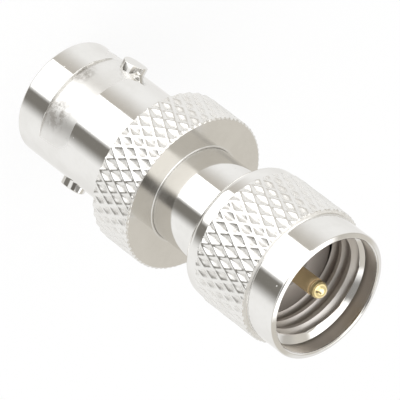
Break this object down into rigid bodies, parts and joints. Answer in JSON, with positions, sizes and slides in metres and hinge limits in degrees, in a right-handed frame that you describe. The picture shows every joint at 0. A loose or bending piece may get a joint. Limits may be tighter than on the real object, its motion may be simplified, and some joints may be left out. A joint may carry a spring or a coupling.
{
  "type": "coax adapter",
  "caption": "In-line coaxial adapter with a bayonet jack at one end, a knurled collar and neck, and a knurled threaded plug nut with a centre pin at the other.",
  "frame": {"origin": "centre of the bayonet jack's mouth face, on the adapter's axis, which is also the face it stands on", "axes": "+Z along the adapter's axis from the jack's mouth to the plug nut's mouth, X through the two bayonet lugs"},
  "size_m": [0.0132, 0.013, 0.0303],
  "materials": {
    "nickel": "bright nickel plate on turned brass",
    "gold": "gold plate on turned brass",
    "ptfe": "turned white PTFE",
    "spring_bronze": "plain phosphor bronze strip"
  },
  "bodies": {
    "adapter_body": {"jack_shell": "nickel", "plug_body": "nickel", "pin_contact": "gold", "socket_contact": "gold", "jack_insulator": "ptfe", "plug_insulator": "ptfe"},
    "ring": {"retaining_ring": "spring_bronze"},
    "nut": {"coupling_nut": "nickel"}
  },
  "joints": [
    {"name": "nut_float", "type": "slide", "parent": "adapter_body", "child": "ring", "axis": [0, 0, 1], "range_m": [0, 0.0003]},
    {"name": "nut_spin", "type": "hinge", "parent": "ring", "child": "nut", "pos_m": [0, 0, 0.0253], "axis": [0, 0, 1], "continuous": true}
  ]
}
